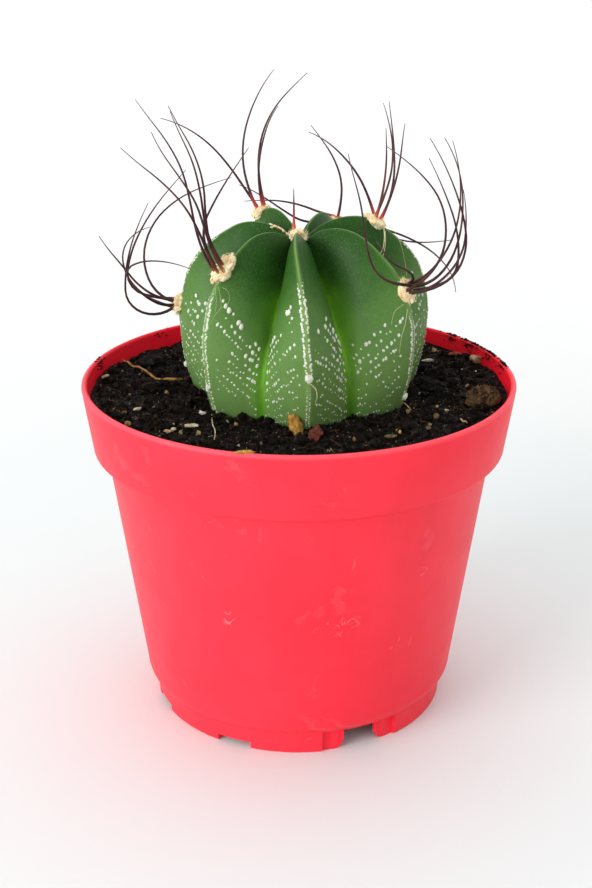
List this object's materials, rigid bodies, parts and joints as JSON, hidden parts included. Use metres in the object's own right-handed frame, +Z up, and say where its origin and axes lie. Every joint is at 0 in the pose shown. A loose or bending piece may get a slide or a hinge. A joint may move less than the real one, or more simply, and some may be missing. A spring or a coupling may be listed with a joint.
{
  "type": "potted round cactus",
  "caption": "Round ribbed cactus with woolly areoles and long curved spines, growing in peat in a round tapered plastic nursery pot with a collared rim and a notched foot.",
  "frame": {"origin": "on the pot's axis, at the surface that the pot stands on", "axes": "+Z up along the pot's axis; -Y is the front, where the rib with the low woolly knob faces"},
  "size_m": [0.105, 0.105, 0.1532],
  "materials": {
    "pot_plastic": "moulded red plastic, satin, with faint scuffs",
    "peat": null,
    "cactus_skin": null,
    "wool": "cream felted wool of the areoles",
    "spine_horn": "dark purple-brown horny spines, red at the base and grey at the tip",
    "bark": "dry bark chips",
    "fibre": "brown peat fibre and dry root"
  },
  "bodies": {
    "root": {"bark_chip_long": "bark", "bark_chip_short": "bark", "black_clod": "peat", "cactus_body": "cactus_skin", "dry_root": "fibre", "fibre_clod": "fibre", "old_wool_front": "wool", "old_wool_front_left": "wool", "old_wool_front_right": "wool", "old_wool_left": "wool", "pot": "pot_plastic", "soil": "peat", "spine_back_1": "spine_horn", "spine_back_2": "spine_horn", "spine_back_3": "spine_horn", "spine_back_4": "spine_horn", "spine_back_5": "spine_horn", "spine_back_left_1": "spine_horn", "spine_back_left_2": "spine_horn", "spine_back_left_3": "spine_horn", "spine_back_left_4": "spine_horn", "spine_back_right_1": "spine_horn", "spine_back_right_2": "spine_horn", "spine_back_right_3": "spine_horn", "spine_back_right_4": "spine_horn", "spine_back_right_5": "spine_horn", "spine_crown_1": "spine_horn", "spine_front_left_1": "spine_horn", "spine_front_left_2": "spine_horn", "spine_front_left_3": "spine_horn", "spine_front_left_4": "spine_horn", "spine_front_left_5": "spine_horn", "spine_front_left_6": "spine_horn", "spine_front_right_1": "spine_horn", "spine_front_right_2": "spine_horn", "spine_front_right_3": "spine_horn", "spine_front_right_4": "spine_horn", "spine_front_right_5": "spine_horn", "spine_front_right_6": "spine_horn", "spine_front_right_7": "spine_horn", "spine_front_right_8": "spine_horn", "spine_left_1": "spine_horn", "spine_left_2": "spine_horn", "spine_left_3": "spine_horn", "spine_left_4": "spine_horn", "spine_left_5": "spine_horn", "spine_left_6": "spine_horn", "wool_back": "wool", "wool_back_left": "wool", "wool_back_right": "wool", "wool_crown": "wool", "wool_front_left": "wool", "wool_front_right": "wool", "wool_left": "wool"}
  },
  "joints": []
}
